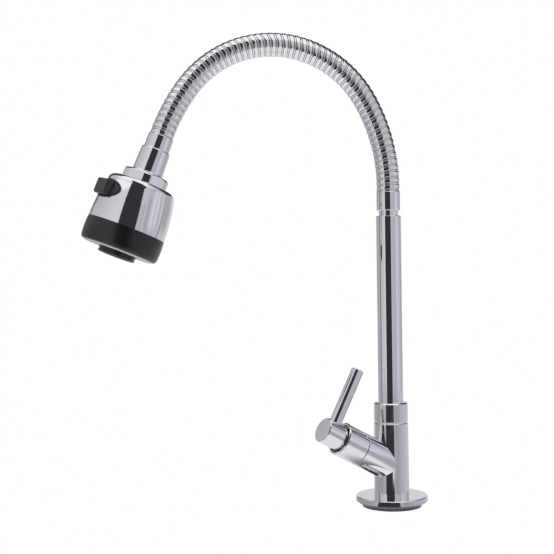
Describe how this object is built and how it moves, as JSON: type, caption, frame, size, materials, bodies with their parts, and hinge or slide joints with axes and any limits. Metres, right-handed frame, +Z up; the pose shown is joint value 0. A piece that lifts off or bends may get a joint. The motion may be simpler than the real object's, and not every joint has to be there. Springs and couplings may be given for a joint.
{
  "type": "flexible kitchen faucet",
  "caption": "Deck-mounted kitchen faucet with a side lever valve, a swivelling riser, a ribbed neck that bends and stays put, and a spray head with a push button.",
  "frame": {"origin": "centre of the deck seat, on the underside of the base gasket", "axes": "+Z up the riser; the neck arches over towards -X; the lever hangs on the same side, turned a little towards -Y, which is the side the picture sees"},
  "size_m": [0.2609, 0.059, 0.4241],
  "materials": {
    "chrome_plate": "polished",
    "neck_chrome": "gloss",
    "raw_brass": "satin",
    "stainless": "satin",
    "black_plastic": "satin",
    "grey_plastic": "satin",
    "white_plastic": "matte",
    "black_rubber": "matte",
    "grey_rubber": "matte",
    "valve_ceramic": "satin"
  },
  "bodies": {
    "tap": {"base_gasket": "grey_rubber", "base_flange": "chrome_plate", "inlet_shank": "raw_brass", "clamp_gasket": "black_rubber", "clamp_washer": "stainless", "fixing_nut": "raw_brass", "tap_body": "chrome_plate", "cartridge_seal": "black_rubber", "fixed_disc": "valve_ceramic", "cartridge_body": "raw_brass", "bonnet_sleeve": "chrome_plate", "retaining_ring": "stainless"},
    "lever": {"lever_hub": "chrome_plate", "lever_rod": "chrome_plate", "hub_set_screw": "stainless", "valve_spindle": "raw_brass", "moving_disc": "valve_ceramic", "spindle_seals": "black_rubber", "spindle_clip": "stainless"},
    "spout": {"spout_insert": "raw_brass", "spout_seals": "black_rubber", "swivel_washer": "white_plastic", "swivel_collar": "chrome_plate", "riser_tube": "chrome_plate", "riser_plug": "chrome_plate", "lower_ferrule": "chrome_plate", "inner_hose": "black_rubber", "neck_section_01": "neck_chrome"},
    "neck_02": {"neck_section_02": "neck_chrome"},
    "neck_03": {"neck_section_03": "neck_chrome"},
    "neck_04": {"neck_section_04": "neck_chrome"},
    "neck_05": {"neck_section_05": "neck_chrome"},
    "neck_06": {"neck_section_06": "neck_chrome"},
    "neck_07": {"neck_section_07": "neck_chrome"},
    "neck_08": {"neck_section_08": "neck_chrome"},
    "neck_09": {"neck_section_09": "neck_chrome"},
    "neck_10": {"neck_section_10": "neck_chrome"},
    "neck_11": {"neck_section_11": "neck_chrome"},
    "head_neck": {"neck_section_12": "neck_chrome", "upper_ferrule": "chrome_plate", "head_connector": "chrome_plate"},
    "head": {"union_nut": "chrome_plate", "union_washer": "black_rubber", "head_shell": "chrome_plate", "spray_core": "white_plastic", "spray_ring": "black_plastic", "spray_plate": "grey_plastic", "aerator_housing": "black_plastic", "aerator_insert": "white_plastic", "aerator_mesh": "white_plastic", "button_bezel": "black_plastic"},
    "button": {"selector_button": "black_plastic", "diverter_plunger": "black_rubber", "button_spring": "stainless"}
  },
  "joints": [
    {"name": "lever_turn", "type": "hinge", "parent": "tap", "child": "lever", "pos_m": [0, 0, 0.031], "axis": [0.8487, 0.2434, -0.4695], "range_deg": [0, 90]},
    {"name": "spout_swivel", "type": "hinge", "parent": "tap", "child": "spout", "pos_m": [0, 0, 0.0642], "axis": [0, 0, 1], "continuous": true},
    {"name": "neck_lower_bend", "type": "hinge", "parent": "spout", "child": "neck_02", "pos_m": [-0.00093, 0, 0.26111], "axis": [0.001, -1, 0], "range_deg": [-8, 7], "deforming": ["inner_hose"]},
    {"name": "neck_bend_02", "type": "hinge", "parent": "neck_02", "child": "neck_03", "pos_m": [-0.00587, 0, 0.28437], "axis": [0.001, -1, 0], "range_deg": [-8, 7]},
    {"name": "neck_sway", "type": "hinge", "parent": "neck_03", "child": "neck_04", "pos_m": [-0.01488, 0, 0.30638], "axis": [0.8876, 0, 0.4605], "range_deg": [-7.5, 7.5]},
    {"name": "neck_bend_04", "type": "hinge", "parent": "neck_04", "child": "neck_05", "pos_m": [-0.02832, 0, 0.32593], "axis": [0.001, -1, 0], "range_deg": [-8, 7]},
    {"name": "neck_bend_05", "type": "hinge", "parent": "neck_05", "child": "neck_06", "pos_m": [-0.04678, 0, 0.34085], "axis": [0.001, -1, 0], "range_deg": [-8, 7]},
    {"name": "neck_sway_06", "type": "hinge", "parent": "neck_06", "child": "neck_07", "pos_m": [-0.06874, 0, 0.34983], "axis": [0.2402, 0, 0.9707], "range_deg": [-7.5, 7.5]},
    {"name": "neck_upper_bend", "type": "hinge", "parent": "neck_07", "child": "neck_08", "pos_m": [-0.09235, 0, 0.35212], "axis": [0.001, -1, 0], "range_deg": [-8, 7]},
    {"name": "neck_bend_08", "type": "hinge", "parent": "neck_08", "child": "neck_09", "pos_m": [-0.11563, 0, 0.34753], "axis": [0.001, -1, 0], "range_deg": [-8, 7]},
    {"name": "neck_sway_09", "type": "hinge", "parent": "neck_09", "child": "neck_10", "pos_m": [-0.13661, 0, 0.33645], "axis": [-0.5905, 0, 0.807], "range_deg": [-7.5, 7.5]},
    {"name": "neck_bend_10", "type": "hinge", "parent": "neck_10", "child": "neck_11", "pos_m": [-0.15352, 0, 0.31981], "axis": [0.001, -1, 0], "range_deg": [-8, 7]},
    {"name": "neck_bend_11", "type": "hinge", "parent": "neck_11", "child": "head_neck", "pos_m": [-0.16623, 0, 0.29971], "axis": [0.001, -1, 0], "range_deg": [-8, 7]},
    {"name": "head_turn", "type": "hinge", "parent": "head_neck", "child": "head", "pos_m": [-0.17399, 0, 0.28232], "axis": [-0.3665, 0, -0.9304], "continuous": true},
    {"name": "selector_press", "type": "slide", "parent": "head", "child": "button", "axis": [0.8432, 0.4226, -0.3322], "range_m": [0, 0.0022], "stiffness_N_per_m": 1500, "deforming": ["button_spring"]}
  ],
  "couplings": [
    {"joint": "neck_bend_02", "follows": "neck_lower_bend", "ratio": 1},
    {"joint": "neck_bend_04", "follows": "neck_lower_bend", "ratio": 1},
    {"joint": "neck_bend_05", "follows": "neck_lower_bend", "ratio": 1},
    {"joint": "neck_sway_06", "follows": "neck_sway", "ratio": 1},
    {"joint": "neck_bend_08", "follows": "neck_upper_bend", "ratio": 1},
    {"joint": "neck_sway_09", "follows": "neck_sway", "ratio": 1},
    {"joint": "neck_bend_10", "follows": "neck_upper_bend", "ratio": 1},
    {"joint": "neck_bend_11", "follows": "neck_upper_bend", "ratio": 1}
  ]
}
